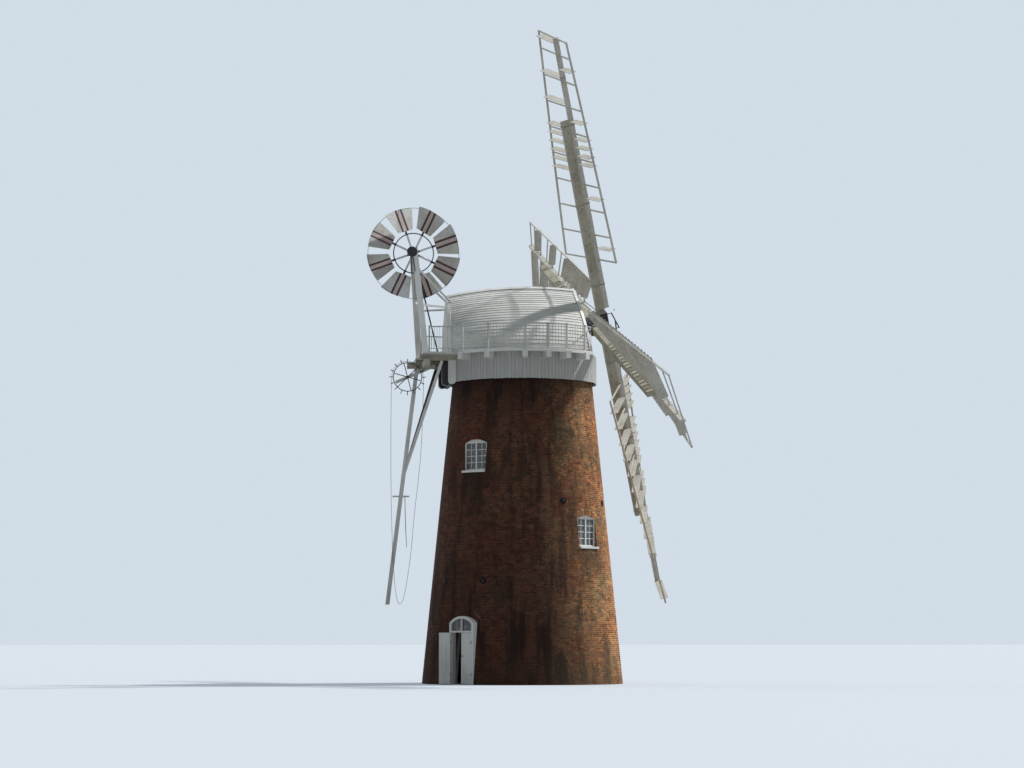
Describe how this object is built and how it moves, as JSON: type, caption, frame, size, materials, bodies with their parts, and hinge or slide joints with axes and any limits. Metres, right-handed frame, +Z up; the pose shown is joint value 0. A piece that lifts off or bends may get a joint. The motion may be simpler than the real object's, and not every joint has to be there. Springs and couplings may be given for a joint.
{
  "type": "brick tower windmill",
  "caption": "Tapered round brick drainage windmill with a turning boat-shaped cap, a railed gallery, shuttered sails, a fantail and a pair of hinged doors.",
  "frame": {"origin": "on the ground at the tower's axis", "axes": "+Z up, the sails face -Y, the fantail is on the +Y side"},
  "size_m": [22.3304, 12.2725, 24.6452],
  "materials": {
    "brick": "weathered red brick in lime mortar",
    "white_paint": "weathered white paint on timber",
    "cream_timber": "weathered cream paint on heavy timber",
    "floor_boards": "bare boards and beams",
    "stone_floor": "worn brick paving",
    "black_iron": "black paint, slightly rusty",
    "clear_glass": "clear window glass"
  },
  "bodies": {
    "tower": {"wall_base_1": "brick", "wall_base_2": "brick", "wall_base_3": "brick", "wall_over_door": "brick", "wall_upper_1": "brick", "wall_upper_2": "brick", "wall_upper_3": "brick", "wall_upper_4": "brick", "ground_floor": "stone_floor", "first_floor": "floor_boards", "second_floor": "floor_boards", "floor_beams": "floor_boards", "tie_plates": "black_iron", "window_frames": "white_paint", "window_glass": "clear_glass", "door_casing": "white_paint", "fanlight_glass": "clear_glass", "door_pintles": "black_iron", "curb": "black_iron"},
    "sails": {"windshaft": "black_iron", "poll": "black_iron", "stocks": "cream_timber", "striking_gear": "black_iron", "sail_frame_1": "white_paint", "sail_frame_2": "white_paint", "sail_frame_3": "white_paint", "sail_frame_4": "white_paint", "shutters_1": "white_paint", "shutters_2": "white_paint", "shutters_3": "white_paint", "shutters_4": "white_paint"},
    "fan": {"fan_wheel": "black_iron", "fan_blades": "white_paint"},
    "door_left": {"door_leaf_left": "white_paint", "door_straps_left": "black_iron"},
    "door_right": {"door_leaf_right": "white_paint", "door_straps_right": "black_iron"},
    "cap": {"cap_frame": "cream_timber", "cap_front": "white_paint", "cap_rear_board": "white_paint", "cap_side_left": "white_paint", "cap_side_right": "white_paint", "chain_long": "black_iron", "chain_short": "black_iron", "chain_wheel": "black_iron", "chain_wheel_beam": "white_paint", "fan_drive_shaft": "black_iron", "fan_posts": "white_paint", "fan_stage": "cream_timber", "fan_stays": "white_paint", "gallery_deck": "white_paint", "gallery_joists": "white_paint", "gallery_rail": "white_paint", "skirt": "white_paint", "tail_braces": "white_paint", "tail_pole": "white_paint"}
  },
  "joints": [
    {"name": "cap_yaw", "type": "hinge", "parent": "tower", "child": "cap", "pos_m": [0, 0, 12], "axis": [0, 0, 1], "continuous": true},
    {"name": "sails_spin", "type": "hinge", "parent": "cap", "child": "sails", "pos_m": [0, -2.955, 13.81], "axis": [0, -0.9641, 0.2656], "continuous": true},
    {"name": "fan_spin", "type": "hinge", "parent": "cap", "child": "fan", "pos_m": [0, 4.22, 16.475], "axis": [1, 0, 0], "continuous": true},
    {"name": "door_left_swing", "type": "hinge", "parent": "tower", "child": "door_left", "pos_m": [-2.42051, 2.99084, 1], "axis": [0, 0, 1], "range_deg": [0, 168]},
    {"name": "door_right_swing", "type": "hinge", "parent": "tower", "child": "door_right", "pos_m": [-3.07349, 2.31466, 1], "axis": [0, 0, 1], "range_deg": [0, 175]}
  ]
}
